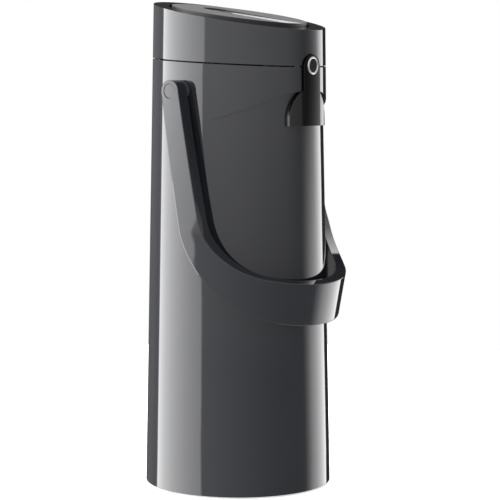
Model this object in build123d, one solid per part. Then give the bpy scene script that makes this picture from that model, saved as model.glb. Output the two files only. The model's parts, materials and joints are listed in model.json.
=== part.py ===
from build123d import *

import os
from math import cos, radians, sin, sqrt, tan

# Thermal pump jug. Millimetres, +Z up, spout towards -Y, origin on the floor under the jug's axis.

# ---- Shell and head ----
BASE_R = 73.0              # outer radius of the shell at the floor
TAPER_DEG = 0.94           # each side leans inwards by this
SHELL_WALL = 2.0
SHELL_LIFT = 1.2           # shadow gap under the shell
PART_Z = 331.0             # parting line between jug and head, on the axis
PART_SLOPE_DEG = 2.97      # it falls towards the front
PART_GAP = 1.0
RIM_Z = 366.9              # top of the head, on the axis
RIM_SLOPE_DEG = 9.78
HEAD_WALL = 2.4
LIP_T = 2.6
WELL_WALL = 2.0
WELL_DEPTH = 12.0

NICHE_TOP_Z = 309.6        # crown of the arched edge
NICHE_ARCH_R = 106.0
NICHE_FOOT_Z = 20.0        # the niche runs out here
NICHE_REF_Z = 340.0        # height at which shift and widening are given
NICHE_SHIFT = 5.5          # set-back of the niche surface
NICHE_WIDEN = 1.7
NICHE_START = 0.06         # keeps the niche surface outside the shell at its foot

# ---- Spout, latch and duct ----
SPOUT_HALF = 10.6          # half width of the strip
SPOUT_TOP_Z = 336.9
SPOUT_BOTTOM_Z = 282.6
SPOUT_PROUD = 1.8          # strip stands out of the shell by this
SPOUT_T = 3.8
SLOT_CLEARANCE = 0.6
SLOT_FLOOR_Z = 303.0       # below this the strip lies over the niche
HOOD_HALF = 24.0
HOOD_CENTRE_Z = 287.6
HOOD_PROUD = 0.5
HOOD_CLEARANCE = 0.4
BUTTON_Z = 328.4
BUTTON_R = 4.9
BUTTON_PROUD = 0.2
RING_R = 6.9
RING_PROUD = 0.6
RING_SEAT = 1.6            # depth of the ring's seat in the strip
BRACKET_Z = (333.9, 336.0)
BRACKET_INSET = (4.57, 7.57)   # bracket inside the shell's outer face
BRACKET_NECK = 5.0
BRACKET_HALF = 15.0
LATCH_X = (7.0, 9.5)       # legs either side of the duct
LATCH_Z = (329.6, 332.2)
LATCH_END_Y = -49.0
LATCH_HOOK_Z = 321.0
LATCH_T = 2.0
YOKE_T = 1.4
LATCH_GAP = 0.9            # hook stays clear of the keeper by this
KEEPER_DROP = 2.0
DUCT_R = 3.9
DUCT_BORE_R = 2.9
DUCT_Z = 331.0
DUCT_BEND_Y = -55.5
DUCT_DROP_Z = 317.0
MOUTH_Y = -64.0
MOUTH_RAISE = 2.8          # mouth above the strip's lower edge
DUCT_GAP_HALF = 6.0
POCKET_HALF = 12.5
POCKET_BACK_Y = -44.0
POCKET_FLOOR_Z = 292.0

# ---- Handle ----
PIVOT_Y = 5.4
PIVOT_Z = 309.0
ARM_HALF = 8.1             # half width of each arm
ARM_LEAN_DEG = 12.9
HANDLE_R = 82.0            # outer radius of the bail at the pivots
HANDLE_WALL = 10.8
GRIP_OUT_R = 90.6          # outer radius where arms and grip meet
GRIP_OUT_Z = 202.0
GRIP_FRONT_R = 87.0        # where the heights of the grip's edges are given
GRIP_LOW_R = 76.6          # outer radius at the foot of the grip's cone
GRIP_LOW_WALL = 5.5
GRIP_LOW_Z = 118.0
GRIP_TOP_Z = 161.9         # upper edge at the very front
GRIP_TOP_FALL_DEG = 16.7
GRIP_TOP_FILLET = 64.0
GRIP_BOTTOM_Z = 129.0      # lower edge at the very front
GRIP_BOTTOM_FALL_DEG = 11.3
GRIP_BOTTOM_FILLET = 94.0
STUD_R = 4.0
STUD_HEAD = 2.4            # flange of the stud stands out by this
STUD_HEAD_X = 60.0
SPACER_CLEARANCE = 0.4
CAP_R = 5.3
CAP_T = 2.8

# ---- Push plate and pump ----
PLATE_R = 53.0
PLATE_GAP = 2.4
PLATE_T = 9.0
PLATE_SKIN = 3.2
PLATE_RIM = 2.6
PLATE_RAISE_DEG = 1.0      # its front stands above the rim
PLATE_LIFT = 0.8
PLATE_PIN_INSET = 11.0     # pin ahead of the plate's rear edge
PLATE_PIN_DROP = 8.2       # pin below the top of the plate
PLATE_PIN_R = 2.0
PLATE_PIN_HALF = 23.6
POST_X = (13.5, 18.5)
EAR_X = (19.2, 23.2)
POST_R = 4.0
EAR_R = 3.6
CHANNEL_HALF = 12.5
CHANNEL_REAR_Y = 20.0
CHANNEL_DEEP = 1.6
THUMB_DEEP = 4.6           # hollow at the channel's rear end
THUMB_R = 11.2
CHANNEL_FALL_DEG = 1.07     # its floor comes up to the surface at the front
TROUGH_T = 7.2
TROUGH_WALL = 2.0
BELLOWS_R = 31.0
BELLOWS_FOLD = 5.0
BELLOWS_Z = 338.5
BELLOWS_TOP_Z = 356.3
BELLOWS_WALL = 1.2
BELLOWS_FOLDS = 4
SEAT_T = 1.0
SPRING_R = 14.0
SPRING_WIRE_R = 0.9
SPRING_TURNS = 4
FLAP_R = 6.0
AIR_HOLE_R = 3.6
AIR_HOLE_X = 9.0
AIR_HOLE_Y = -6.0

# ---- Floor of the head ----
FLOOR_T = 3.0
FLOOR_LIFT = 0.4
HUB_R = 25.0
HUB_BOTTOM_Z = 310.5
SEAL_OUT = 4.0
SEAL_T = 4.5
BALL_R = 3.3
BALL_SEAT_R = 2.6
BALL_BORE_R = 3.6
BALL_SEAT_Z = 316.0

# ---- Flask, collar and riser ----
FLASK_R = 61.5             # outer glass
GLASS_T = 1.6
VACUUM_GAP = 4.0
NECK_GAP = 2.4
FLASK_EDGE = 10.0
FLASK_BOTTOM_Z = 14.0
FLASK_SHOULDER_Z = 226.0
FLASK_NECK_Z = 290.0
FLASK_TOP_Z = 304.0
NECK_R = 30.5
GASKET_T = 1.5
COLLAR_TOP_Z = 326.3
COLLAR_T = 2.5
COLLAR_RISE = 9.0
COLLAR_SHELF = 8.0
RISER_Y = 17.0             # riser tube stands behind the axis
RISER_R = 4.0
RISER_BORE_R = 3.0
RISER_FOOT_GAP = 3.0
RISER_ENTRY = 2.0          # tube enters the hub by this
RISER_CUP = 1.4
HOLDER_T = 2.0
CUSHION_R = 53.5
CUSHION_W = 20.0
CUSHION_LIP = 2.0

# ---- Base and fasteners ----
CAP_Z = 1.0                # underside of the base cap
CAP_THICK = 6.0
FOOT_R = 60.0
FOOT_T = 3.0
SCREW_R = 1.6
BASE_SCREW_INSET = 7.5     # base screws inside the shell's outer face
BASE_SCREW_DEG = (0, 120, 240)
BASE_BOSS_R = 5.5
BASE_BOSS_H = 10.0
HEAD_SCREW_INSET = 5.77    # head screws inside the shell's outer face
HEAD_SCREW_DEG = (60, 125, 235, 300)
HEAD_BOSS_R = 3.4
HEAD_SCREW_LENGTH = 9.0

# ---- Head hinge ----
HINGE_OUT = 1.63           # hinge axis behind the shell, on the parting plane
HINGE_R = 3.6
HINGE_PIN_R = 1.5
HINGE_CENTRE_HALF = 5.0
HINGE_HALF = 12.5
HINGE_GAP = 0.4
HINGE_STRAP = 14.0

# ---- Clearances ----
FIT = 0.15                 # parts of one body that sit in one another
RUNNING = 0.06             # pins and studs in their bores
BUTTON_CLEARANCE = 0.25

BIG = 400.0                # larger than the whole jug
LOW = (Align.CENTER, Align.CENTER, Align.MIN)
HIGH = (Align.CENTER, Align.CENTER, Align.MAX)


# ---- Places worked out from the sizes above ----
def cone_r(z):
    return BASE_R - z * tan(radians(TAPER_DEG))


def slope_z(z, slope_deg, y):
    return z + y * tan(radians(slope_deg))


NECK_BORE_R = NECK_R - 2 * GLASS_T - NECK_GAP
COLLAR_Z = FLASK_TOP_Z + GASKET_T
COLLAR_FLOOR_TOP = COLLAR_Z + COLLAR_T
RISER_TOP_Z = HUB_BOTTOM_Z + RISER_ENTRY
RISER_FOOT_Z = FLASK_BOTTOM_Z + 2 * GLASS_T + VACUUM_GAP + RISER_FOOT_GAP
HANDLE_IN_R = HANDLE_R - HANDLE_WALL
HINGE_Y = cone_r(PART_Z) + HINGE_OUT
HINGE_Z = slope_z(PART_Z, PART_SLOPE_DEG, HINGE_Y)
HEAD_SCREW_R = cone_r(PART_Z) - HEAD_SCREW_INSET
BASE_SCREW_R = BASE_R - BASE_SCREW_INSET
PLATE_PIN_Y = PLATE_R - PLATE_PIN_INSET
PLATE_SLOPE_DEG = RIM_SLOPE_DEG - PLATE_RAISE_DEG
PLATE_Z = RIM_Z + PLATE_LIFT + PLATE_R * (tan(radians(RIM_SLOPE_DEG)) - tan(radians(PLATE_SLOPE_DEG)))
PLATE_PIN_Z = slope_z(PLATE_Z, PLATE_SLOPE_DEG, PLATE_PIN_Y) - PLATE_PIN_DROP
HEAD_FLOOR_Z = PART_Z + PART_GAP / 2 + FLOOR_LIFT
STRIP_FACE_R = cone_r(BUTTON_Z) + SPOUT_PROUD
BRACKET_Y = tuple(inset - cone_r(PART_Z) for inset in BRACKET_INSET)
LATCH_FRONT_Y = -(STRIP_FACE_R - SPOUT_T - 2 * SLOT_CLEARANCE)
KEEPER_END_Y = LATCH_END_Y - LATCH_T - LATCH_GAP
MOUTH = (0, MOUTH_Y, SPOUT_BOTTOM_Z + MOUTH_RAISE)
DUCT_TURN = (0, DUCT_BEND_Y, DUCT_Z)
DUCT_DROP = (0, DUCT_BEND_Y, DUCT_DROP_Z)
MOUTH_BEYOND = (0, 2 * MOUTH_Y - DUCT_BEND_Y, 2 * MOUTH[2] - DUCT_DROP_Z)


# ---- Plain shapes ----
def disc(radius, z_low, z_high, x=0.0, y=0.0):
    return Pos(x, y, z_low) * Cylinder(radius, z_high - z_low, align=LOW)


def block(x, y, z):
    """Box from three (low, high) pairs."""
    size = Box(x[1] - x[0], y[1] - y[0], z[1] - z[0])
    return Pos((x[0] + x[1]) / 2, (y[0] + y[1]) / 2, (z[0] + z[1]) / 2) * size


def sloped(z, slope_deg):
    """Plane at height z on the axis that falls towards the front."""
    tilt = radians(slope_deg)
    return Plane(origin=(0, 0, z), x_dir=(1, 0, 0), z_dir=(0, -sin(tilt), cos(tilt)))


def above(z, slope_deg):
    return sloped(z, slope_deg) * Box(BIG, BIG, BIG, align=LOW)


def below(z, slope_deg):
    return sloped(z, slope_deg) * Box(BIG, BIG, BIG, align=HIGH)


def rod(radius, start, end):
    """Round bar between two points."""
    line = Edge.make_line(start, end)
    return extrude(Plane(origin=start, z_dir=line % 0) * Circle(radius), line.length)


def across(radius, x_low, x_high, y, z):
    return rod(radius, (x_low, y, z), (x_high, y, z))


def inward(radius, y_low, y_high, z):
    return rod(radius, (0, y_low, z), (0, y_high, z))


def turned(points):
    """Solid turned about the axis from an (r, z) outline."""
    corners = [(r, 0, z) for r, z in points]
    return revolve(make_face(Polyline(*corners, close=True)), Axis.Z)


def side_prism(outline):
    """Side outline in (y, z), stretched across the jug."""
    return extrude(Plane.YZ.offset(-BIG / 2) * outline, BIG)


def front_prism(outline, y_high):
    """Front outline in (x, z), stretched from far in front back to y_high."""
    plane = Plane(origin=(0, -BIG / 2, 0), x_dir=(1, 0, 0), z_dir=(0, -1, 0))
    return extrude(plane * outline, -(y_high + BIG / 2))


def both_sides(shape):
    return Compound([shape, mirror(shape, Plane.YZ)])


def around(radius, angles):
    return [(radius * sin(radians(a)), radius * cos(radians(a))) for a in angles]


# ---- Outer form shared by the shell and what sits in it ----
def cone(z_low, z_high, grow=0.0):
    body = Cone(cone_r(z_low) + grow, cone_r(z_high) + grow, z_high - z_low, align=LOW)
    return Pos(0, 0, z_low) * body


def niche_form(grow):
    """Set-back surface of the niche: circles that widen and move back with height."""
    low = Plane.XY.offset(NICHE_FOOT_Z) * Circle(cone_r(NICHE_FOOT_Z) + NICHE_START + grow)
    top = Plane(origin=(0, NICHE_SHIFT, NICHE_REF_Z))
    high = top * Circle(cone_r(NICHE_REF_Z) + NICHE_WIDEN + grow)
    return loft([low, high], ruled=True)


def arch_outline(grow):
    """Everything under the arched edge, seen from the front."""
    centre_z = NICHE_TOP_Z - NICHE_ARCH_R
    radius = NICHE_ARCH_R - grow
    height = centre_z - NICHE_FOOT_Z
    return Pos(0, centre_z) * Circle(radius) + Pos(0, centre_z - height / 2) * Rectangle(2 * radius, height)


def jug_form(grow, z_low, z_high):
    """Tapered body with the niche; grow < 0 gives the inside of a wall."""
    front = front_prism(arch_outline(grow), 0) & disc(BIG, NICHE_FOOT_Z, NICHE_REF_Z)
    return cone(z_low, z_high, grow) - (front - niche_form(grow))


def slot_outline(grow):
    """Strip outline: round top, straight sides, flat lower edge."""
    half = SPOUT_HALF + grow
    centre_z = SPOUT_TOP_Z - SPOUT_HALF
    drop = centre_z - (SPOUT_BOTTOM_Z - grow)
    return Pos(0, centre_z) * Circle(half) + Pos(0, centre_z - drop / 2) * Rectangle(2 * half, drop)


def hood_outline():
    drop = HOOD_CENTRE_Z - SPOUT_BOTTOM_Z
    dome = Pos(0, HOOD_CENTRE_Z) * Circle(HOOD_HALF)
    skirt = Pos(0, HOOD_CENTRE_Z - drop / 2) * Rectangle(2 * HOOD_HALF, drop)
    over = Pos(0, SPOUT_BOTTOM_Z - HOOD_HALF) * Rectangle(3 * HOOD_HALF, 2 * HOOD_HALF)
    return dome + skirt - over


def head_form(grow, floor_raise, roof_drop):
    """Tapered head between the parting plane and the slanted rim."""
    body = cone(PART_Z - BASE_R / 4, RIM_Z + BASE_R / 4, grow)
    body -= below(PART_Z + PART_GAP / 2 + floor_raise, PART_SLOPE_DEG)
    return body - above(RIM_Z - roof_drop, RIM_SLOPE_DEG)


# ---- Handle pivots, used by shell, collar and handle ----
def pivot_bar(radius, x_low, x_high):
    return across(radius, x_low, x_high, PIVOT_Y, PIVOT_Z)


def pivot_bore(radius):
    return pivot_bar(radius, -BIG / 2, BIG / 2)


# ---- Head hinge ----
def knuckle(x_low, x_high):
    return across(HINGE_R, x_low, x_high, HINGE_Y, HINGE_Z)


def knuckle_room(x_low, x_high):
    return across(HINGE_R + 2 * HINGE_GAP, x_low - HINGE_GAP, x_high + HINGE_GAP, HINGE_Y, HINGE_Z)


def hinge_bore(clearance):
    return across(HINGE_PIN_R + clearance, -BIG / 2, BIG / 2, HINGE_Y, HINGE_Z)


def body_hinge():
    """Centre knuckle of the jug and the strap that carries it."""
    half = (-HINGE_CENTRE_HALF, HINGE_CENTRE_HALF)
    strap = block(half, (BASE_R - 3 * HINGE_R, HINGE_Y + HINGE_PIN_R), (HINGE_Z - HINGE_STRAP, HINGE_Z))
    strap -= cone(0, BIG, -SHELL_WALL / 2)
    return strap + knuckle(*half)


def head_hinge():
    """Outer knuckles of the head and the lugs that carry them."""
    sides = (HINGE_CENTRE_HALF + HINGE_GAP, HINGE_HALF)
    lug = block(sides, (BASE_R - 3 * HINGE_R, HINGE_Y + HINGE_PIN_R), (HINGE_Z, HINGE_Z + HINGE_STRAP))
    lug -= cone(0, BIG, -HEAD_WALL / 2)
    return both_sides(lug + knuckle(*sides))


def head_hinge_pin():
    return across(HINGE_PIN_R, -HINGE_HALF, HINGE_HALF, HINGE_Y, HINGE_Z)


# ---- Jug ----
def base_bosses():
    bosses = [disc(BASE_BOSS_R, CAP_Z + CAP_THICK, CAP_Z + CAP_THICK + BASE_BOSS_H, x, y)
              for x, y in around(BASE_SCREW_R, BASE_SCREW_DEG)]
    return Compound(bosses) & cone(0, NICHE_FOOT_Z, -SHELL_WALL / 2)


def body_shell():
    shell = jug_form(0, SHELL_LIFT, NICHE_REF_Z) - jug_form(-SHELL_WALL, 0, NICHE_REF_Z + 1)
    shell -= above(PART_Z - PART_GAP / 2, PART_SLOPE_DEG)
    strip_room = slot_outline(SLOT_CLEARANCE) & (Pos(0, SLOT_FLOOR_Z + BIG / 2) * Rectangle(BIG, BIG))
    shell -= front_prism(strip_room, -BASE_R / 2)
    room_height = PART_Z - SPOUT_BOTTOM_Z - SLOT_CLEARANCE
    duct_room = Pos(0, PART_Z - room_height / 2) * Rectangle(2 * DUCT_GAP_HALF, room_height)
    shell -= front_prism(duct_room, -BASE_R / 2)
    shell -= pivot_bore(STUD_R)
    shell -= both_sides(knuckle_room(HINGE_CENTRE_HALF + 2 * HINGE_GAP, HINGE_HALF))
    shell += base_bosses()
    shell = shell + body_hinge() - hinge_bore(RUNNING)
    return shell - Compound([disc(SCREW_R, 0, NICHE_FOOT_Z, x, y) for x, y in around(BASE_SCREW_R, BASE_SCREW_DEG)])


def base_cap():
    top = CAP_Z + CAP_THICK
    plate = disc(cone_r(top) - SHELL_WALL - FIT, CAP_Z, top)
    for x, y in around(BASE_SCREW_R, BASE_SCREW_DEG):
        plate -= disc(SCREW_R + FIT, 0, top, x, y)
        plate -= disc(2 * SCREW_R + FIT, 0, CAP_Z + 2 * SCREW_R, x, y)
    return plate - disc(FOOT_R + FIT, 0, FOOT_T)


def base_screws():
    screws = []
    for x, y in around(BASE_SCREW_R, BASE_SCREW_DEG):
        head = disc(2 * SCREW_R, CAP_Z + SCREW_R, CAP_Z + 2 * SCREW_R, x, y)
        screws.append(head + disc(SCREW_R, CAP_Z + SCREW_R, CAP_Z + CAP_THICK + BASE_BOSS_H, x, y))
    return Compound(screws)


def foot_pad():
    return disc(FOOT_R, 0, FOOT_T)


def flask_form(inset, neck_r):
    """Bottle outline, inset from the outer glass."""
    low = FLASK_BOTTOM_Z + inset
    side = FLASK_R - inset
    edge = FLASK_EDGE
    wall = FilletPolyline((0, 0, low), (side, 0, low), (side, 0, FLASK_SHOULDER_Z),
                          (neck_r, 0, FLASK_NECK_Z - inset), (neck_r, 0, FLASK_TOP_Z),
                          radius=[edge, 3 * edge, edge])
    close = Polyline((neck_r, 0, FLASK_TOP_Z), (0, 0, FLASK_TOP_Z), (0, 0, low))
    return revolve(make_face([*wall.edges(), *close.edges()]), Axis.Z)


def flask_outer():
    wall = flask_form(0, NECK_R) - flask_form(GLASS_T, NECK_R - GLASS_T)
    return wall - disc(BIG, FLASK_TOP_Z - GLASS_T, BIG)


def flask_inner():
    inset = GLASS_T + VACUUM_GAP
    wall = flask_form(inset, NECK_BORE_R + GLASS_T) - flask_form(inset + GLASS_T, NECK_BORE_R)
    lip = disc(NECK_R, FLASK_TOP_Z - GLASS_T, FLASK_TOP_Z) - disc(NECK_BORE_R, 0, BIG)
    return wall + lip


def flask_cushion():
    low = CAP_Z + CAP_THICK
    ring = disc(CUSHION_R, low, FLASK_BOTTOM_Z + CUSHION_LIP) - disc(CUSHION_R - CUSHION_W, 0, BIG)
    return ring - flask_form(0, NECK_R)


def neck_gasket():
    return disc(NECK_R, FLASK_TOP_Z, COLLAR_Z) - disc(NECK_BORE_R + FIT, 0, BIG)


def pocket(grow):
    """Room at the front for the duct and the latch legs; grow gives its walls."""
    across_x = (-POCKET_HALF - grow, POCKET_HALF + grow)
    return block(across_x, (-BIG / 2, POCKET_BACK_Y + grow), (POCKET_FLOOR_Z - grow, BIG))


def collar():
    """Moulded ring that closes the jug's top round the flask neck."""
    inside = jug_form(-SHELL_WALL - FIT, PART_Z / 2, COLLAR_TOP_Z)
    edge_r = cone_r(COLLAR_TOP_Z) - SHELL_WALL - COLLAR_T
    shelf_r = NECK_R + COLLAR_SHELF
    funnel = turned([(NECK_BORE_R, COLLAR_Z), (shelf_r, COLLAR_Z), (BASE_R, COLLAR_Z + COLLAR_RISE),
                     (BASE_R, COLLAR_TOP_Z), (edge_r, COLLAR_TOP_Z),
                     (edge_r, COLLAR_Z + COLLAR_RISE + COLLAR_T), (shelf_r, COLLAR_FLOOR_TOP),
                     (NECK_BORE_R, COLLAR_FLOOR_TOP)])
    box = pocket(COLLAR_T) & inside
    box -= flask_form(0, NECK_R + SLOT_CLEARANCE)
    body = (funnel & inside) + box - pocket(0)
    body -= block((-DUCT_GAP_HALF, DUCT_GAP_HALF), (-BIG / 2, DUCT_BEND_Y + DUCT_GAP_HALF), (0, BIG))
    return body - pivot_bore(STUD_R + 2 * STUD_HEAD)


def latch_keepers():
    pad = block((DUCT_GAP_HALF + FIT, POCKET_HALF), (KEEPER_END_Y - 3 * LATCH_T, KEEPER_END_Y),
                (COLLAR_TOP_Z - KEEPER_DROP, COLLAR_TOP_Z))
    return both_sides(pad)


def riser_tube():
    tube = disc(RISER_R, RISER_FOOT_Z, RISER_TOP_Z, 0, RISER_Y) - disc(RISER_BORE_R, 0, BIG, 0, RISER_Y)
    inlet = across(RISER_R / 3, -BIG / 2, BIG / 2, RISER_Y, RISER_FOOT_Z)
    return tube - inlet


def riser_holder():
    """Ring on the collar's floor with an eye that carries the tube."""
    top = COLLAR_FLOOR_TOP + HOLDER_T
    ring = disc(NECK_R, COLLAR_FLOOR_TOP, top) - disc(NECK_BORE_R, 0, BIG)
    eye = disc(RISER_R + HOLDER_T, COLLAR_FLOOR_TOP, top, 0, RISER_Y)
    arm = block((-HOLDER_T, HOLDER_T), (RISER_Y, NECK_BORE_R + HOLDER_T), (COLLAR_FLOOR_TOP, top))
    return ring + eye + arm - disc(RISER_R, 0, BIG, 0, RISER_Y)


def pivot_studs():
    inner_x = sqrt((cone_r(PIVOT_Z) - SHELL_WALL) ** 2 - (PIVOT_Y + STUD_R + STUD_HEAD) ** 2)
    stud = pivot_bar(STUD_R, STUD_HEAD_X, HANDLE_R - CAP_T - 2 * SPACER_CLEARANCE)
    return both_sides(stud + pivot_bar(STUD_R + STUD_HEAD, STUD_HEAD_X, inner_x - SLOT_CLEARANCE))


def pivot_spacers():
    washer = pivot_bar(ARM_HALF, STUD_HEAD_X, HANDLE_IN_R - SPACER_CLEARANCE)
    washer -= pivot_bore(STUD_R)
    return both_sides(washer - cone(PART_Z / 2, NICHE_REF_Z))


# ---- Handle ----
def grip_corner(offset, z_front, fall):
    """Where an arm's edge line meets an edge line of the grip, in (y, z)."""
    lean = tan(radians(ARM_LEAN_DEG))
    grip_z_at_axis = z_front + fall * GRIP_FRONT_R
    y = (PIVOT_Y + offset - lean * (PIVOT_Z - grip_z_at_axis)) / (1 - lean * fall)
    return (y, grip_z_at_axis + fall * y)


def bail_outline():
    """Side outline (y, z) of the bail: leaning arms that bend into the falling grip."""
    half = ARM_HALF / cos(radians(ARM_LEAN_DEG))
    fall_top = tan(radians(GRIP_TOP_FALL_DEG))
    fall_low = tan(radians(GRIP_BOTTOM_FALL_DEG))
    beyond = GRIP_OUT_R + 2 * CAP_T
    end_top = (-beyond, GRIP_TOP_Z + fall_top * (GRIP_FRONT_R - beyond))
    end_low = (-beyond, GRIP_BOTTOM_Z + fall_low * (GRIP_FRONT_R - beyond))
    front_edge = FilletPolyline((PIVOT_Y - half, PIVOT_Z), grip_corner(-half, GRIP_TOP_Z, fall_top),
                                end_top, radius=GRIP_TOP_FILLET)
    back_edge = FilletPolyline(end_low, grip_corner(half, GRIP_BOTTOM_Z, fall_low),
                               (PIVOT_Y + half, PIVOT_Z), radius=GRIP_BOTTOM_FILLET)
    ends = [*Line(end_top, end_low).edges(), *Line((PIVOT_Y + half, PIVOT_Z), (PIVOT_Y - half, PIVOT_Z)).edges()]
    face = make_face([*front_edge.edges(), *back_edge.edges(), *ends])
    return face + Pos(PIVOT_Y, PIVOT_Z) * Circle(half)


def bail_round(arm_r, out_r, low_r):
    """Body of revolution with the bail's outer or inner surface."""
    top = PIVOT_Z + 2 * ARM_HALF
    line = FilletPolyline((0, 0, top), (arm_r, 0, top), (arm_r, 0, PIVOT_Z), (out_r, 0, GRIP_OUT_Z),
                          (low_r, 0, GRIP_LOW_Z), (0, 0, GRIP_LOW_Z), radius=[0, BASE_R, BASE_R / 2, 0])
    return revolve(make_face([*line.edges(), *Line((0, 0, GRIP_LOW_Z), (0, 0, top)).edges()]), Axis.Z)


def handle():
    outer = bail_round(HANDLE_R, GRIP_OUT_R, GRIP_LOW_R)
    inner = bail_round(HANDLE_IN_R, GRIP_OUT_R - HANDLE_WALL, GRIP_LOW_R - GRIP_LOW_WALL)
    band = (outer - inner) & side_prism(bail_outline())
    band -= pivot_bar(2 * ARM_HALF, -HANDLE_IN_R, HANDLE_IN_R)
    band -= pivot_bore(STUD_R + RUNNING)
    return band - both_sides(pivot_bar(CAP_R + FIT, HANDLE_R - CAP_T, HANDLE_R + CAP_T))


def handle_caps():
    cap = pivot_bar(CAP_R, HANDLE_R - CAP_T, HANDLE_R + CAP_T)
    return both_sides(cap & disc(HANDLE_R - FIT, PART_Z / 2, BIG))


# ---- Head ----
def well(radius, z_low, z_high):
    """Round column square to the rim plane; heights from the rim."""
    return sloped(RIM_Z, RIM_SLOPE_DEG) * Pos(0, 0, z_low) * Cylinder(radius, z_high - z_low, align=LOW)


def head_housing():
    bore_r = PLATE_R + PLATE_GAP
    shell = head_form(0, 0, 0) - head_form(-HEAD_WALL, -BASE_R, LIP_T)
    shell += well(bore_r + WELL_WALL, -WELL_DEPTH, 0) & head_form(-HEAD_WALL / 2, 0, LIP_T / 2)
    bosses = [disc(HEAD_BOSS_R, PART_Z, RIM_Z, x, y) for x, y in around(HEAD_SCREW_R, HEAD_SCREW_DEG)]
    shell += Compound(bosses) & head_form(-HEAD_WALL / 2, 2 * FLOOR_LIFT + FLOOR_T, LIP_T / 2)
    shell -= well(bore_r, -BASE_R, BASE_R)
    shell -= front_prism(slot_outline(SLOT_CLEARANCE), -BASE_R / 2)
    shell -= knuckle_room(-HINGE_CENTRE_HALF, HINGE_CENTRE_HALF)
    shell = shell + head_hinge() - hinge_bore(0)
    return shell - Compound(head_screw_bores(SCREW_R))


def head_screw_bores(radius):
    top = HEAD_FLOOR_Z + HEAD_SCREW_LENGTH + FLOOR_T
    return [disc(radius, PART_Z / 2, top, x, y) for x, y in around(HEAD_SCREW_R, HEAD_SCREW_DEG)]


def head_floor():
    """Plate that closes the head from below, with the stopper hub that enters the collar."""
    plate = head_form(-HEAD_WALL - FIT, FLOOR_LIFT, -BASE_R)
    plate &= below(HEAD_FLOOR_Z + FLOOR_T, PART_SLOPE_DEG)
    plate -= pocket(0)
    body = plate + disc(HUB_R, HUB_BOTTOM_Z, BELLOWS_Z - SEAT_T)
    post_y = (PLATE_PIN_Y - POST_R, PLATE_PIN_Y + POST_R)
    post = block(POST_X, post_y, (BELLOWS_Z - 2 * SEAT_T, PLATE_PIN_Z))
    body += both_sides(post + across(POST_R, *POST_X, PLATE_PIN_Y, PLATE_PIN_Z))
    body -= disc(RISER_R + RISER_CUP, 0, RISER_TOP_Z + FIT, 0, RISER_Y)
    body -= disc(BALL_SEAT_R, 0, BALL_SEAT_Z, 0, RISER_Y)
    body -= disc(BALL_BORE_R, BALL_SEAT_Z, DUCT_Z, 0, RISER_Y)
    body -= rod(DUCT_R, (0, RISER_Y + BALL_BORE_R, DUCT_Z), (0, -BIG / 2, DUCT_Z))
    body -= disc(AIR_HOLE_R, 0, BIG, AIR_HOLE_X, AIR_HOLE_Y)
    body -= across(PLATE_PIN_R, -BIG / 2, BIG / 2, PLATE_PIN_Y, PLATE_PIN_Z)
    return body - Compound(head_screw_bores(SCREW_R + FIT))


def head_screws():
    screws = []
    for x, y in around(HEAD_SCREW_R, HEAD_SCREW_DEG):
        low = slope_z(HEAD_FLOOR_Z, PART_SLOPE_DEG, y) + SCREW_R / 2
        screws.append(disc(SCREW_R, low, low + HEAD_SCREW_LENGTH, x, y))
    return Compound(screws)


def hub_seal():
    """Silicone ring round the hub that closes on the riser holder."""
    lip_r = HUB_R + SEAL_OUT
    return turned([(HUB_R, HUB_BOTTOM_Z), (lip_r, HUB_BOTTOM_Z), (lip_r, HUB_BOTTOM_Z + SEAL_T / 3),
                   (HUB_R, HUB_BOTTOM_Z + SEAL_T)])


def outlet_duct():
    """Tube from the hub forwards and down to the mouth of the spout."""
    tube = duct_run(DUCT_R, (0, RISER_Y - BALL_BORE_R, DUCT_Z))
    tube -= duct_run(DUCT_BORE_R, (0, RISER_Y, DUCT_Z))
    return tube - rod(DUCT_BORE_R, DUCT_DROP, MOUTH_BEYOND)


def duct_run(radius, start):
    run = rod(radius, start, DUCT_TURN) + Pos(*DUCT_TURN) * Sphere(radius)
    run += rod(radius, DUCT_TURN, DUCT_DROP)
    run += Pos(*DUCT_DROP) * Sphere(radius)
    return run + rod(radius, DUCT_DROP, MOUTH)


def tip_ball():
    rest = sqrt(BALL_R ** 2 - BALL_SEAT_R ** 2) + FIT / 3
    return Pos(0, RISER_Y, BALL_SEAT_Z + rest) * Sphere(BALL_R)


# ---- Push plate and bellows ----
def channel_outline(grow):
    """Finger channel in the plate's own plane: round at the rear, open at the front."""
    length = CHANNEL_REAR_Y + 2 * PLATE_R
    run = Pos(0, CHANNEL_REAR_Y - length / 2) * Rectangle(2 * (CHANNEL_HALF + grow), length)
    return Pos(0, CHANNEL_REAR_Y) * Circle(CHANNEL_HALF + grow) + run


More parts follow.
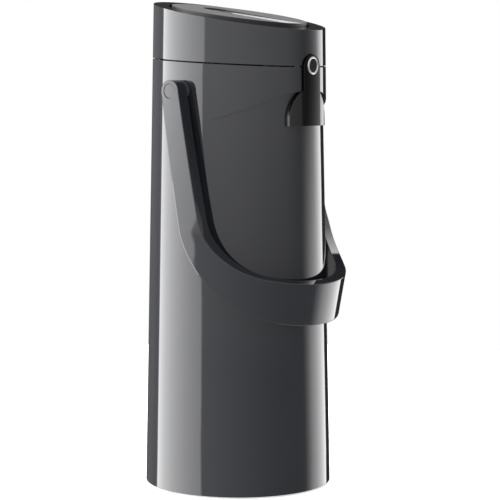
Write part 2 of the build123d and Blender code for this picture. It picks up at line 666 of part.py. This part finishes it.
def pump_plate():
    plane = sloped(PLATE_Z, PLATE_SLOPE_DEG)
    body = plane * Cylinder(PLATE_R, PLATE_T, align=HIGH)
    body -= plane * Pos(0, 0, -PLATE_SKIN) * Cylinder(PLATE_R - PLATE_RIM, PLATE_T, align=HIGH)
    trough = plane * Pos(0, 0, -TROUGH_T) * extrude(channel_outline(TROUGH_WALL), TROUGH_T)
    body += trough & (plane * Cylinder(PLATE_R, BIG))
    under_skin = plane * Pos(0, 0, -PLATE_SKIN / 2) * Box(BIG, BIG, BIG, align=HIGH)
    body += disc(BELLOWS_R - 2 * BELLOWS_FOLD, BELLOWS_TOP_Z, RIM_Z) & under_skin
    low_z = slope_z(PLATE_Z, PLATE_SLOPE_DEG, PLATE_PIN_Y) - PLATE_PIN_DROP
    ear = block(EAR_X, (PLATE_PIN_Y - EAR_R, PLATE_PIN_Y + EAR_R), (low_z, RIM_Z + BASE_R))
    body += both_sides(ear + across(EAR_R, *EAR_X, PLATE_PIN_Y, PLATE_PIN_Z)) & under_skin
    rear_y = CHANNEL_REAR_Y + CHANNEL_HALF
    cutter = Pos(0, -rear_y, 0) * extrude(channel_outline(0), BASE_R)
    body -= plane * Pos(0, rear_y, -CHANNEL_DEEP) * Rot(-CHANNEL_FALL_DEG, 0, 0) * cutter
    body -= plane * Pos(0, CHANNEL_REAR_Y, -THUMB_DEEP) * Cylinder(THUMB_R, BASE_R, align=LOW)
    return body - across(PLATE_PIN_R + RUNNING, -BIG / 2, BIG / 2, PLATE_PIN_Y, PLATE_PIN_Z)


def plate_pin():
    return across(PLATE_PIN_R, -PLATE_PIN_HALF, PLATE_PIN_HALF, PLATE_PIN_Y, PLATE_PIN_Z)


def bellows():
    pitch = (BELLOWS_TOP_Z - BELLOWS_Z) / BELLOWS_FOLDS
    waist_r = BELLOWS_R - BELLOWS_FOLD
    outer = []
    for fold in range(BELLOWS_FOLDS):
        z = BELLOWS_Z + fold * pitch
        outer += [(waist_r, z), (BELLOWS_R, z + pitch / 2)]
    outer += [(waist_r, BELLOWS_TOP_Z)]
    inner = [(r - BELLOWS_WALL, z) for r, z in outer[:-1]]
    roof = BELLOWS_TOP_Z - BELLOWS_WALL
    inner += [(waist_r - BELLOWS_WALL, roof), (0, roof)]
    return turned([*outer, (0, BELLOWS_TOP_Z), *inner[::-1]])


def bellows_seat():
    hole = disc(FLAP_R + FIT, 0, BIG, AIR_HOLE_X, AIR_HOLE_Y)
    return disc(BELLOWS_R, BELLOWS_Z - SEAT_T, BELLOWS_Z) - hole


def outlet_flap():
    return disc(FLAP_R, BELLOWS_Z - SEAT_T, BELLOWS_Z - FIT, AIR_HOLE_X, AIR_HOLE_Y)


def bellows_spring():
    height = BELLOWS_TOP_Z - BELLOWS_WALL - BELLOWS_Z - 2 * SPRING_WIRE_R - 2 * FIT
    path = Helix(pitch=height / SPRING_TURNS, height=height, radius=SPRING_R)
    section = Plane(origin=path @ 0, z_dir=path % 0) * Circle(SPRING_WIRE_R)
    return Pos(0, 0, BELLOWS_Z + SPRING_WIRE_R + FIT) * sweep(section, path, is_frenet=True)


# ---- Spout ----
def strip_cone(proud):
    """Everything inside a surface that follows the shell's taper."""
    return cone(SPOUT_BOTTOM_Z - SPOUT_HALF, SPOUT_TOP_Z + SPOUT_HALF, proud)


def spout_bracket():
    """Rear tongue of the strip and the two feet that stand on the head's floor."""
    neck = block((-BRACKET_NECK, BRACKET_NECK), (-BASE_R, BRACKET_Y[1]), BRACKET_Z)
    neck &= strip_cone(0)
    bar = block((-BRACKET_HALF, BRACKET_HALF), BRACKET_Y, BRACKET_Z)
    foot_x = (POCKET_HALF + FIT, BRACKET_HALF)
    foot = block(foot_x, (BRACKET_Y[0], BRACKET_Y[1] + LATCH_T), (BUTTON_Z - BUTTON_R, BRACKET_Z[1]))
    foot -= below(HEAD_FLOOR_Z + FLOOR_T, PART_SLOPE_DEG)
    return neck + bar + both_sides(foot)


def spout_panel():
    body = front_prism(slot_outline(0), -BASE_R / 2)
    body &= strip_cone(SPOUT_PROUD) - strip_cone(SPOUT_PROUD - SPOUT_T)
    hood = front_prism(hood_outline(), -BASE_R / 2) & strip_cone(HOOD_PROUD)
    hood -= jug_form(HOOD_CLEARANCE, PART_Z / 2, NICHE_REF_Z)
    body += hood
    body += spout_bracket()
    body -= rod(DUCT_R + FIT, DUCT_DROP, MOUTH_BEYOND)
    body -= inward(BUTTON_R + BUTTON_CLEARANCE, -BIG / 2, -BASE_R / 2, BUTTON_Z)
    return body - inward(RING_R, -BIG / 2, RING_SEAT - STRIP_FACE_R, BUTTON_Z)


def spout_ring():
    ring = inward(RING_R, -STRIP_FACE_R - RING_PROUD, RING_SEAT - STRIP_FACE_R, BUTTON_Z)
    return ring - inward(BUTTON_R + BUTTON_CLEARANCE, -BIG / 2, 0, BUTTON_Z)


def release_button():
    """Round button with two legs that carry the latch hooks past the duct."""
    cap = inward(BUTTON_R, -STRIP_FACE_R - BUTTON_PROUD, LATCH_FRONT_Y + SLOT_CLEARANCE, BUTTON_Z)
    yoke_x = (-LATCH_X[1], LATCH_X[1])
    yoke = block(yoke_x, (LATCH_FRONT_Y, LATCH_FRONT_Y + YOKE_T), LATCH_Z)
    leg = block(LATCH_X, (LATCH_FRONT_Y, LATCH_END_Y), LATCH_Z)
    hook = block(LATCH_X, (LATCH_END_Y - LATCH_T, LATCH_END_Y), (LATCH_HOOK_Z, LATCH_Z[1]))
    return cap + yoke + both_sides(leg + hook)


NODES = {
    "body_shell": body_shell,
    "base_cap": base_cap,
    "base_screws": base_screws,
    "foot_pad": foot_pad,
    "flask_cushion": flask_cushion,
    "flask_outer": flask_outer,
    "flask_inner": flask_inner,
    "neck_gasket": neck_gasket,
    "collar": collar,
    "latch_keepers": latch_keepers,
    "riser_tube": riser_tube,
    "riser_holder": riser_holder,
    "pivot_studs": pivot_studs,
    "pivot_spacers": pivot_spacers,
    "handle": handle,
    "handle_caps": handle_caps,
    "head_housing": head_housing,
    "head_hinge_pin": head_hinge_pin,
    "head_floor": head_floor,
    "head_screws": head_screws,
    "hub_seal": hub_seal,
    "outlet_duct": outlet_duct,
    "tip_ball": tip_ball,
    "pump_plate": pump_plate,
    "plate_pin": plate_pin,
    "bellows": bellows,
    "bellows_seat": bellows_seat,
    "outlet_flap": outlet_flap,
    "bellows_spring": bellows_spring,
    "spout_panel": spout_panel,
    "spout_ring": spout_ring,
    "release_button": release_button,
}

os.makedirs("parts", exist_ok=True)
for name, make in NODES.items():
    export_step(make(), f"parts/{name}.step")
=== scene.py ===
import json
import math

import bmesh
import bpy
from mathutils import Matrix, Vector

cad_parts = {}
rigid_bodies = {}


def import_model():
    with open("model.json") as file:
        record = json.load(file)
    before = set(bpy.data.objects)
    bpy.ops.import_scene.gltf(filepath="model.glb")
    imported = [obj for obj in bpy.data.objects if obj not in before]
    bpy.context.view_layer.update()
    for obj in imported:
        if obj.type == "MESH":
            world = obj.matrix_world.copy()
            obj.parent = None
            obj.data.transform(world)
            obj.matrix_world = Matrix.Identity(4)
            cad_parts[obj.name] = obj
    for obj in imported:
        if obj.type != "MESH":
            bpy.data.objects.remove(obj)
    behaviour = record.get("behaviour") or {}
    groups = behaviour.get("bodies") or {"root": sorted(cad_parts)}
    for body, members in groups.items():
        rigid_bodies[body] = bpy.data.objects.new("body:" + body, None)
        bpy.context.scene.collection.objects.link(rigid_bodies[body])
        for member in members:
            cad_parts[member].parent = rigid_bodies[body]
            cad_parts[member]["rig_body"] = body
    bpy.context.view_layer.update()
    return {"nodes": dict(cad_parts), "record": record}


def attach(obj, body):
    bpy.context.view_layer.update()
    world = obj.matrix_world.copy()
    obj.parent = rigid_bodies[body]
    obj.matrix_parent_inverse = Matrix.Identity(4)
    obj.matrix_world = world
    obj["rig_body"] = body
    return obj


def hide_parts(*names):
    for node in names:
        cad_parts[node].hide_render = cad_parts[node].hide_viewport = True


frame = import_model()
nodes = frame["nodes"]

# ---- Sizes the looks need, in metres and degrees ----
TENT_R = 2.6                # light tent round the jug
TENT_LOW = -1.6
TENT_HIGH = 2.4
TENT_GAIN = 8.0
TENT_SIDES = 128
ROOF_SIDES = 64
ROOF_LIGHT = 1.6
FLOOR_R = 0.75
FLOOR_SIDES = 96
FLOOR_DROP = 0.0002         # keeps the floor clear of the foot
FLOOR_WHITE = 0.9
FLOOR_ROUGH = 0.9
FLOOR_GLOW = 0.6
RIM_SOFT = 0.0004           # the same on the shell and the head
EDGE_SOFT = 0.0011          # how far moulded edges are rounded off in the shading
SOFT_SAMPLES = 6
GRAIN_DETAIL = 3.0
GRAIN_DEPTH = 0.0002
CAMERA_AT = (-1.224, -0.889, 0.329)
CAMERA_TO = (0.0053, -0.0072, 0.1834)
CAMERA_ROLL = 0.22
CAMERA_LENS = 138.7
CAMERA_SENSOR = 36.0

# Brightness of the tent at each compass angle round the jug: (degrees, low down, high up).
TENT_LIGHT = (
    (-180, 0.50, 0.60), (-174.5, 0.55, 0.70), (-173.5, 7.9, 8.0), (-150, 7.2, 7.2),
    (-135, 6.4, 6.5), (-118, 5.2, 5.4), (-100.5, 4.1, 4.4), (-99.5, 1.20, 1.80),
    (-60, 0.86, 1.55), (-20, 0.55, 1.25), (10, 0.42, 1.0), (32, 0.36, 0.5),
    (38, 0.40, 0.36), (44, 1.1, 0.36), (54, 2.6, 0.6), (66, 3.4, 1.2),
    (78, 3.8, 3.0), (90, 3.9, 3.6), (92, 0.03, 0.03), (130, 0.05, 0.05),
    (150, 0.2, 0.3), (172, 0.42, 0.5),
)
TENT_FADE = (-0.20, 0.38)   # heights between which the low light becomes the high light

# Sizes of the moulded surfaces, for exact shading.
BASE_R = 0.073
TAPER = math.tan(math.radians(0.94))
NICHE_FOOT_Z = 0.020
NICHE_REF_Z = 0.340
NICHE_FOOT_R = BASE_R - NICHE_FOOT_Z * TAPER + 0.00006
NICHE_REF_R = BASE_R - NICHE_REF_Z * TAPER + 0.0017
NICHE_SHIFT = 0.0055        # how far forward its axis moves on the way up
ON_SURFACE = 0.00012        # a corner this near to a moulded surface lies on it
SAME_WAY = 0.9              # least agreement of two directions that count as one

STRIP_HALF = 0.0107
CHANNEL_HALF = 0.0126
CHANNEL_END_Y = 0.033
CHANNEL_TILT = (-0.145, -0.12)      # its floor leans less than the plate does
SIDE_TILT = 0.6             # a face flatter than this belongs to the plate's top or underside
BUTTON_Z = 0.3284
RING_MAJOR = 0.006025
RING_MINOR = 0.00087
RING_Y = -0.0691
RING_SECTION_SIDES = 24
RING_STEPS = 96


# ---- Materials ----
def new_material(name):
    material = bpy.data.materials.new(name)
    material.use_nodes = True
    return material, material.node_tree.nodes, material.node_tree.links


def plain(name, color, roughness, metallic=0.0, ior=1.5):
    material, tree, _ = new_material(name)
    shader = tree["Principled BSDF"]
    shader.inputs["Base Color"].default_value = (*color, 1.0)
    shader.inputs["Roughness"].default_value = roughness
    shader.inputs["Metallic"].default_value = metallic
    shader.inputs["IOR"].default_value = ior
    return material


def soften_edges(material, radius):
    """Rounds sharp edges in the shading, so that they catch a thin line of light."""
    tree, links = material.node_tree.nodes, material.node_tree.links
    bevel = tree.new("ShaderNodeBevel")
    bevel.samples = SOFT_SAMPLES
    bevel.inputs["Radius"].default_value = radius
    links.new(bevel.outputs["Normal"], tree["Principled BSDF"].inputs["Normal"])
    return material


def grain(material, scale, strength, rough_low, rough_high):
    """Fine moulded grain, from noise in the piece's own place."""
    tree, links = material.node_tree.nodes, material.node_tree.links
    place = tree.new("ShaderNodeTexCoord")
    noise = tree.new("ShaderNodeTexNoise")
    noise.inputs["Scale"].default_value = scale
    noise.inputs["Detail"].default_value = GRAIN_DETAIL
    bump = tree.new("ShaderNodeBump")
    bump.inputs["Strength"].default_value = strength
    bump.inputs["Distance"].default_value = GRAIN_DEPTH
    spread = tree.new("ShaderNodeMapRange")
    spread.inputs["To Min"].default_value = rough_low
    spread.inputs["To Max"].default_value = rough_high
    links.new(place.outputs["Object"], noise.inputs["Vector"])
    links.new(noise.outputs["Fac"], bump.inputs["Height"])
    links.new(noise.outputs["Fac"], spread.inputs["Value"])
    links.new(bump.outputs["Normal"], tree["Principled BSDF"].inputs["Normal"])
    links.new(spread.outputs["Result"], tree["Principled BSDF"].inputs["Roughness"])
    return material


ANTHRACITE = (0.0095, 0.0101, 0.0128)
LACQUER = soften_edges(plain("lacquer", ANTHRACITE, 0.02), RIM_SOFT)
HANDLE_LACQUER = soften_edges(plain("handle_lacquer", ANTHRACITE, 0.03), EDGE_SOFT)
SPOUT_BLACK = soften_edges(plain("spout_black", (0.001, 0.001, 0.001), 0.04, ior=1.22),
                           EDGE_SOFT / 2)
HOOD_BLACK = soften_edges(plain("hood_black", (0.0045, 0.0042, 0.0038), 0.10, ior=1.42),
                          EDGE_SOFT / 2)
# Channel floor painted light grey: a painted highlight for the sheen it catches at a grazing
# angle, not its own colour.
CHANNEL_PAINTED_SHEEN = plain("channel_painted_sheen", (0.62, 0.62, 0.63), 0.30)
# Plate's side walls painted near black: painted shade, for the shadow under the plate's edge.
PLATE_SIDE_PAINTED_SHADE = plain("plate_side_painted_shade", (0.004, 0.004, 0.004), 0.5)
# Each grain is its scale, its strength, and the least and most roughness.
PLATE_GREY = grain(plain("plate_grey", (0.13, 0.13, 0.135), 0.45), 900.0, 0.25, 0.38, 0.52)
INNER_PLASTIC = grain(plain("inner_plastic", (0.03, 0.03, 0.032), 0.5), 500.0, 0.2, 0.42, 0.58)
CLEAR_TUBE = plain("clear_tube", (0.78, 0.79, 0.80), 0.22)
GLASS = plain("silvered_glass", (0.72, 0.74, 0.76), 0.06, metallic=1.0)
RUBBER = grain(plain("rubber", (0.018, 0.018, 0.018), 0.7), 700.0, 0.3, 0.62, 0.8)
SILICONE = grain(plain("silicone", (0.62, 0.62, 0.60), 0.45), 400.0, 0.1, 0.38, 0.5)
STEEL = grain(plain("steel", (0.56, 0.56, 0.57), 0.3, metallic=1.0), 1200.0, 0.1, 0.22, 0.34)
CHROME = plain("chrome", (0.42, 0.42, 0.43), 0.06, metallic=1.0)

FINISH = {
    "lacquer": LACQUER, "spout_black": SPOUT_BLACK, "plate_grey": PLATE_GREY,
    "inner_plastic": INNER_PLASTIC, "clear_tube": CLEAR_TUBE, "glass": GLASS,
    "rubber": RUBBER, "silicone": SILICONE, "steel": STEEL, "chrome": CHROME,
}

slots = {part["node"]: part["material_slot"] for part in frame["record"]["subparts"]}
for name, node in nodes.items():
    node.data.materials.clear()
    node.data.materials.append(FINISH[slots[name]])


def mesh_object(name, make):
    mesh = bpy.data.meshes.new(name)
    shape = bmesh.new()
    make(shape)
    shape.to_mesh(mesh)
    shape.free()
    made = bpy.data.objects.new(name, mesh)
    bpy.context.scene.collection.objects.link(made)
    return made


def stands_for(made, name):
    """The new piece rides on the CAD piece's body and is shown in its place."""
    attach(made, nodes[name]["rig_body"])
    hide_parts(name)
    return made


def look_copy(name):
    """Copy of a CAD piece's mesh, for shading, finish and painted light that the piece itself
    can't take.
    """
    made = bpy.data.objects.new(name + "_look", nodes[name].data.copy())
    bpy.context.scene.collection.objects.link(made)
    return stands_for(made, name)


# ---- Shell and head: exact normals for the long reflections ----
def cone_normal(place):
    """Outward normal of the tapered surface at a point, or None away from it."""
    radius = math.hypot(place.x, place.y)
    if abs(radius - (BASE_R - place.z * TAPER)) > ON_SURFACE:
        return None
    return Vector((place.x / radius, place.y / radius, TAPER)).normalized()


def niche_normal(place):
    """Outward normal of the set-back surface at a point, or None away from it."""
    height = NICHE_REF_Z - NICHE_FOOT_Z
    share = (place.z - NICHE_FOOT_Z) / height
    away_y = place.y - NICHE_SHIFT * share
    radius = math.hypot(place.x, away_y)
    if abs(radius - (NICHE_FOOT_R + (NICHE_REF_R - NICHE_FOOT_R) * share)) > ON_SURFACE:
        return None
    rise = -(away_y / radius) * NICHE_SHIFT / height - (NICHE_REF_R - NICHE_FOOT_R) / height
    return Vector((place.x / radius, away_y / radius, rise)).normalized()


def shade_exactly(made, surfaces):
    """Corners on the given surfaces take their exact normals; the rest keep their own."""
    mesh = made.data
    normals = [corner.vector.copy() for corner in mesh.corner_normals]
    for face in mesh.polygons:
        for corner in face.loop_indices:
            place = mesh.vertices[mesh.loops[corner].vertex_index].co
            for surface in surfaces:
                exact = surface(place)
                if exact is not None and exact.dot(face.normal) > SAME_WAY:
                    normals[corner] = exact
                    break
    mesh.normals_split_custom_set(normals)


shell_look = look_copy("body_shell")
shade_exactly(shell_look, (niche_normal, cone_normal))
head_look = look_copy("head_housing")
shade_exactly(head_look, (cone_normal,))


# ---- Spout, ring and push plate: another finish on the spout's cheeks, painted highlight and painted shade on the plate, and a rounded ring ----
def finish_or_painted_light(made, material, chosen):
    """Faces for which chosen(centre, normal) holds take this material instead."""
    made.data.materials.append(material)
    for face in made.data.polygons:
        if chosen(face.center, face.normal):
            face.material_index = len(made.data.materials) - 1


def on_cheek(centre, normal):
    return abs(centre.x) > STRIP_HALF


# Faces of the channel floor, which take the painted highlight.
def in_lit_channel(centre, normal):
    in_outline = abs(centre.x) < CHANNEL_HALF and centre.y < CHANNEL_END_Y
    on_floor = CHANNEL_TILT[0] < normal.y < CHANNEL_TILT[1] and normal.z > SAME_WAY
    return in_outline and on_floor


# Side walls of the plate, which take the painted shade.
def on_shaded_side(centre, normal):
    return abs(normal.z) < SIDE_TILT


def ring_shape(shape):
    section = bmesh.ops.create_circle(shape, segments=RING_SECTION_SIDES, radius=RING_MINOR)
    bmesh.ops.translate(shape, verts=section["verts"], vec=(RING_MAJOR, 0, 0))
    bmesh.ops.spin(shape, geom=shape.verts[:] + shape.edges[:], cent=(0, 0, 0), axis=(0, 1, 0),
                   angle=2 * math.pi, steps=RING_STEPS, use_merge=True)
    bmesh.ops.translate(shape, verts=shape.verts, vec=(0, RING_Y, BUTTON_Z))
    bmesh.ops.recalc_face_normals(shape, faces=shape.faces)
    for face in shape.faces:
        face.smooth = True


spout_look = look_copy("spout_panel")
finish_or_painted_light(spout_look, HOOD_BLACK, on_cheek)
ring = stands_for(mesh_object("spout_ring_look", ring_shape), "spout_ring")
ring.data.materials.append(CHROME)
nodes["handle"].data.materials[0] = HANDLE_LACQUER
plate_look = look_copy("pump_plate")
# The channel floor takes a painted highlight.
finish_or_painted_light(plate_look, CHANNEL_PAINTED_SHEEN, in_lit_channel)
# The plate's side walls take a painted shade.
finish_or_painted_light(plate_look, PLATE_SIDE_PAINTED_SHADE, on_shaded_side)


# ---- Light tent, floor and camera ----
def light_ramp(tree, links, turn, column):
    """Ramp over the compass angle with one column of the tent's brightness."""
    ramp = tree.new("ShaderNodeValToRGB")
    stops = ramp.color_ramp.elements
    while len(stops) < len(TENT_LIGHT):
        stops.new(1.0)
    for stop, row in zip(stops, TENT_LIGHT):
        stop.position = (row[0] + 180) / 360
    for stop, row in zip(stops, TENT_LIGHT):
        share = row[column] / TENT_GAIN
        stop.color = (share, share, share, 1.0)
    links.new(turn.outputs["Result"], ramp.inputs["Fac"])
    return ramp


def tent_material():
    """Light that depends on the compass angle, and a little on height."""
    material, tree, links = new_material("tent_light")
    tree.clear()
    place = tree.new("ShaderNodeTexCoord")
    parts = tree.new("ShaderNodeSeparateXYZ")
    flip = tree.new("ShaderNodeMath")
    flip.operation = "MULTIPLY"
    flip.inputs[1].default_value = -1.0
    angle = tree.new("ShaderNodeMath")
    angle.operation = "ARCTAN2"
    turn = tree.new("ShaderNodeMapRange")
    turn.inputs["From Min"].default_value = -math.pi
    turn.inputs["From Max"].default_value = math.pi
    climb = tree.new("ShaderNodeMapRange")
    climb.inputs["From Min"].default_value = TENT_FADE[0]
    climb.inputs["From Max"].default_value = TENT_FADE[1]
    links.new(place.outputs["Object"], parts.inputs[0])
    links.new(parts.outputs["Y"], flip.inputs[0])
    links.new(parts.outputs["X"], angle.inputs[0])
    links.new(flip.outputs[0], angle.inputs[1])
    links.new(angle.outputs[0], turn.inputs["Value"])
    links.new(parts.outputs["Z"], climb.inputs["Value"])
    low = light_ramp(tree, links, turn, 1)
    high = light_ramp(tree, links, turn, 2)
    blend = tree.new("ShaderNodeMix")
    blend.data_type = "RGBA"
    links.new(climb.outputs["Result"], blend.inputs["Factor"])
    links.new(low.outputs["Color"], blend.inputs["A"])
    links.new(high.outputs["Color"], blend.inputs["B"])
    glow = tree.new("ShaderNodeEmission")
    glow.inputs["Strength"].default_value = TENT_GAIN
    out = tree.new("ShaderNodeOutputMaterial")
    links.new(blend.outputs["Result"], glow.inputs["Color"])
    links.new(glow.outputs[0], out.inputs["Surface"])
    return material


def glow_material(name, strength):
    """Even light of one strength."""
    material, tree, links = new_material(name)
    tree.clear()
    glow = tree.new("ShaderNodeEmission")
    glow.inputs["Strength"].default_value = strength
    out = tree.new("ShaderNodeOutputMaterial")
    links.new(glow.outputs[0], out.inputs["Surface"])
    return material


def tent_wall(shape):
    bmesh.ops.create_cone(shape, cap_ends=False, segments=TENT_SIDES, radius1=TENT_R,
                          radius2=TENT_R, depth=TENT_HIGH - TENT_LOW)
    bmesh.ops.translate(shape, verts=shape.verts, vec=(0, 0, (TENT_HIGH + TENT_LOW) / 2))


def tent_roof(shape):
    bmesh.ops.create_circle(shape, cap_ends=True, segments=ROOF_SIDES, radius=TENT_R)
    bmesh.ops.translate(shape, verts=shape.verts, vec=(0, 0, TENT_HIGH))


def floor_sheet(shape):
    bmesh.ops.create_circle(shape, cap_ends=True, segments=FLOOR_SIDES, radius=FLOOR_R)
    bmesh.ops.translate(shape, verts=shape.verts, vec=(0, 0, -FLOOR_DROP))


tent = mesh_object("light_tent", tent_wall)
tent.data.materials.append(tent_material())
roof = mesh_object("tent_roof", tent_roof)
roof.data.materials.append(glow_material("roof_light", ROOF_LIGHT))
for piece in (tent, roof):
    piece.visible_camera = False
floor = mesh_object("floor", floor_sheet)
floor_white = plain("floor_white", (FLOOR_WHITE,) * 3, FLOOR_ROUGH)
floor_shader = floor_white.node_tree.nodes["Principled BSDF"]
floor_shader.inputs["Emission Color"].default_value = (1, 1, 1, 1)
floor_shader.inputs["Emission Strength"].default_value = FLOOR_GLOW
floor.data.materials.append(floor_white)
floor.visible_glossy = False

world = bpy.data.worlds.new("white_world")
bpy.context.scene.world = world
world.use_nodes = True
backdrop = world.node_tree.nodes["Background"]
backdrop.inputs["Color"].default_value = (1, 1, 1, 1)
backdrop.inputs["Strength"].default_value = 1.0

lens = bpy.data.cameras.new("camera")
lens.lens = CAMERA_LENS
lens.sensor_width = CAMERA_SENSOR
camera = bpy.data.objects.new("camera", lens)
bpy.context.scene.collection.objects.link(camera)
camera.location = CAMERA_AT
camera.rotation_euler = (Vector(CAMERA_TO) - Vector(CAMERA_AT)).to_track_quat("-Z", "Y").to_euler()
camera.rotation_euler.rotate_axis("Z", math.radians(CAMERA_ROLL))
bpy.context.scene.camera = camera
bpy.context.scene.view_settings.view_transform = "Standard"
